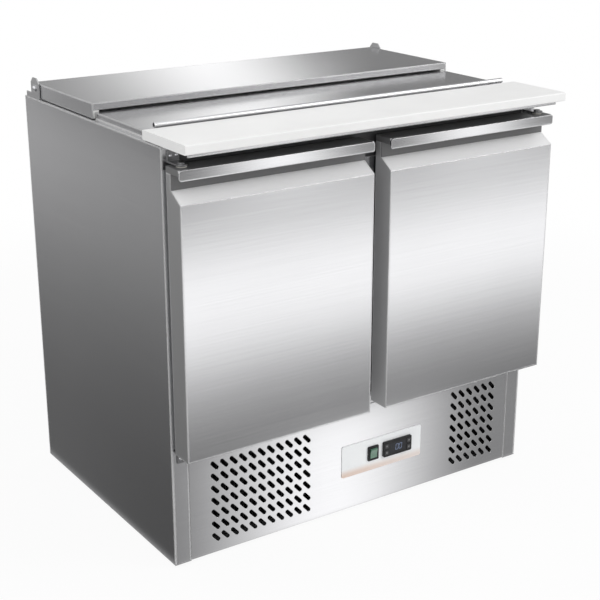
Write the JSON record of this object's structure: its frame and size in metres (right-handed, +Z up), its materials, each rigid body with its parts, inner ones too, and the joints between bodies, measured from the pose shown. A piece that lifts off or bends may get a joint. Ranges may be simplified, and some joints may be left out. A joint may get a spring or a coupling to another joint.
{
  "type": "sandwich prep table",
  "caption": "Refrigerated stainless prep table with hinged doors, a tilting hood over food pans, a sliding lid and a white cutting board along the front.",
  "frame": {"origin": "on the floor at the centre of the table's outline, cutting board included", "axes": "+X to the right along the width, -Y to the front where the doors are, +Z up"},
  "size_m": [0.9, 0.7, 0.893],
  "materials": {
    "stainless": "satin",
    "handle_steel": "satin",
    "pin_steel": "polished",
    "galvanised": "matte",
    "liner_steel": "satin",
    "pan_steel": "satin",
    "foam": "matte",
    "coated_wire": "satin",
    "fin_aluminium": "satin",
    "white_plastic": "matte",
    "copper": "satin",
    "black_enamel": "satin",
    "black_rubber": "matte",
    "black_plastic": "satin",
    "plate_white": "satin",
    "green_lens": "gloss",
    "display_glass": "gloss",
    "key_grey": "matte",
    "bush_nylon": "matte",
    "board_white": "matte"
  },
  "bodies": {
    "cabinet": {"left_side_panel": "stainless", "right_side_panel": "stainless", "rear_panel": "galvanised", "base_tray": "galvanised", "levelling_feet": "black_rubber", "inner_liner": "liner_steel", "wall_insulation": "foam", "front_top_rail": "black_plastic", "rear_top_rail": "stainless", "front_sill": "stainless", "centre_mullion": "stainless", "pan_bars": "liner_steel", "left_full_pan": "pan_steel", "right_full_pan": "pan_steel", "sixth_pans": "pan_steel", "wire_shelves": "coated_wire", "shelf_pilasters": "liner_steel", "shelf_clips": "liner_steel", "evaporator_coil": "fin_aluminium", "drip_trough": "white_plastic", "refrigerant_lines": "copper", "compressor": "black_enamel", "compressor_grommets": "black_rubber", "condenser_coil": "fin_aluminium", "fan_shroud": "galvanised", "fan_motor": "black_enamel", "evaporation_tray": "black_plastic", "terminal_box": "white_plastic", "power_inlet": "black_plastic", "base_panel": "stainless", "control_plate": "plate_white", "switch_bezel": "black_plastic", "controller_body": "black_plastic", "display_window": "display_glass", "hinge_plates": "handle_steel", "hood_brackets": "handle_steel", "hood_pins": "pin_steel", "board_tray": "stainless"},
    "fan": {"condenser_fan": "black_plastic"},
    "rocker": {"switch_rocker": "green_lens"},
    "key_up": {"up_key": "key_grey"},
    "key_down": {"down_key": "key_grey"},
    "key_set": {"set_key": "key_grey"},
    "key_defrost": {"defrost_key": "key_grey"},
    "left_door": {"left_door_skin": "stainless", "left_door_inner": "foam", "left_door_gasket": "black_rubber", "left_door_handle": "handle_steel", "left_door_bushes": "bush_nylon"},
    "right_door": {"right_door_skin": "stainless", "right_door_inner": "foam", "right_door_gasket": "black_rubber", "right_door_handle": "handle_steel", "right_door_bushes": "bush_nylon"},
    "hood": {"rear_hood": "stainless", "hood_core": "foam", "hood_guides": "white_plastic"},
    "lid": {"front_lid": "stainless", "lid_handle": "handle_steel"},
    "board": {"cutting_board": "board_white"}
  },
  "joints": [
    {"name": "left_door_hinge", "type": "hinge", "parent": "cabinet", "child": "left_door", "pos_m": [-0.427, -0.292, 0.535], "axis": [0, 0, -1], "range_deg": [0, 110]},
    {"name": "right_door_hinge", "type": "hinge", "parent": "cabinet", "child": "right_door", "pos_m": [0.427, -0.292, 0.535], "axis": [0, 0, 1], "range_deg": [0, 110]},
    {"name": "hood_tilt", "type": "hinge", "parent": "cabinet", "child": "hood", "pos_m": [0, 0.301, 0.872], "axis": [-1, 0, 0], "range_deg": [0, 90]},
    {"name": "lid_slide", "type": "slide", "parent": "hood", "child": "lid", "axis": [0, 1, 0], "range_m": [0, 0.2]},
    {"name": "board_lift", "type": "slide", "parent": "cabinet", "child": "board", "axis": [0, 0, 1], "range_m": [0, 0.06]},
    {"name": "switch_rock", "type": "hinge", "parent": "cabinet", "child": "rocker", "pos_m": [0.034, -0.2625, 0.1225], "axis": [-1, 0, 0], "range_deg": [0, 16]},
    {"name": "fan_spin", "type": "hinge", "parent": "cabinet", "child": "fan", "pos_m": [-0.246, -0.1758, 0.12], "axis": [0, 1, 0], "continuous": true},
    {"name": "up_key_push", "type": "slide", "parent": "cabinet", "child": "key_up", "axis": [0, 1, 0], "range_m": [0, 0.0008], "stiffness_N_per_m": 600},
    {"name": "down_key_push", "type": "slide", "parent": "cabinet", "child": "key_down", "axis": [0, 1, 0], "range_m": [0, 0.0008], "stiffness_N_per_m": 600},
    {"name": "set_key_push", "type": "slide", "parent": "cabinet", "child": "key_set", "axis": [0, 1, 0], "range_m": [0, 0.0008], "stiffness_N_per_m": 600},
    {"name": "defrost_key_push", "type": "slide", "parent": "cabinet", "child": "key_defrost", "axis": [0, 1, 0], "range_m": [0, 0.0008], "stiffness_N_per_m": 600}
  ]
}
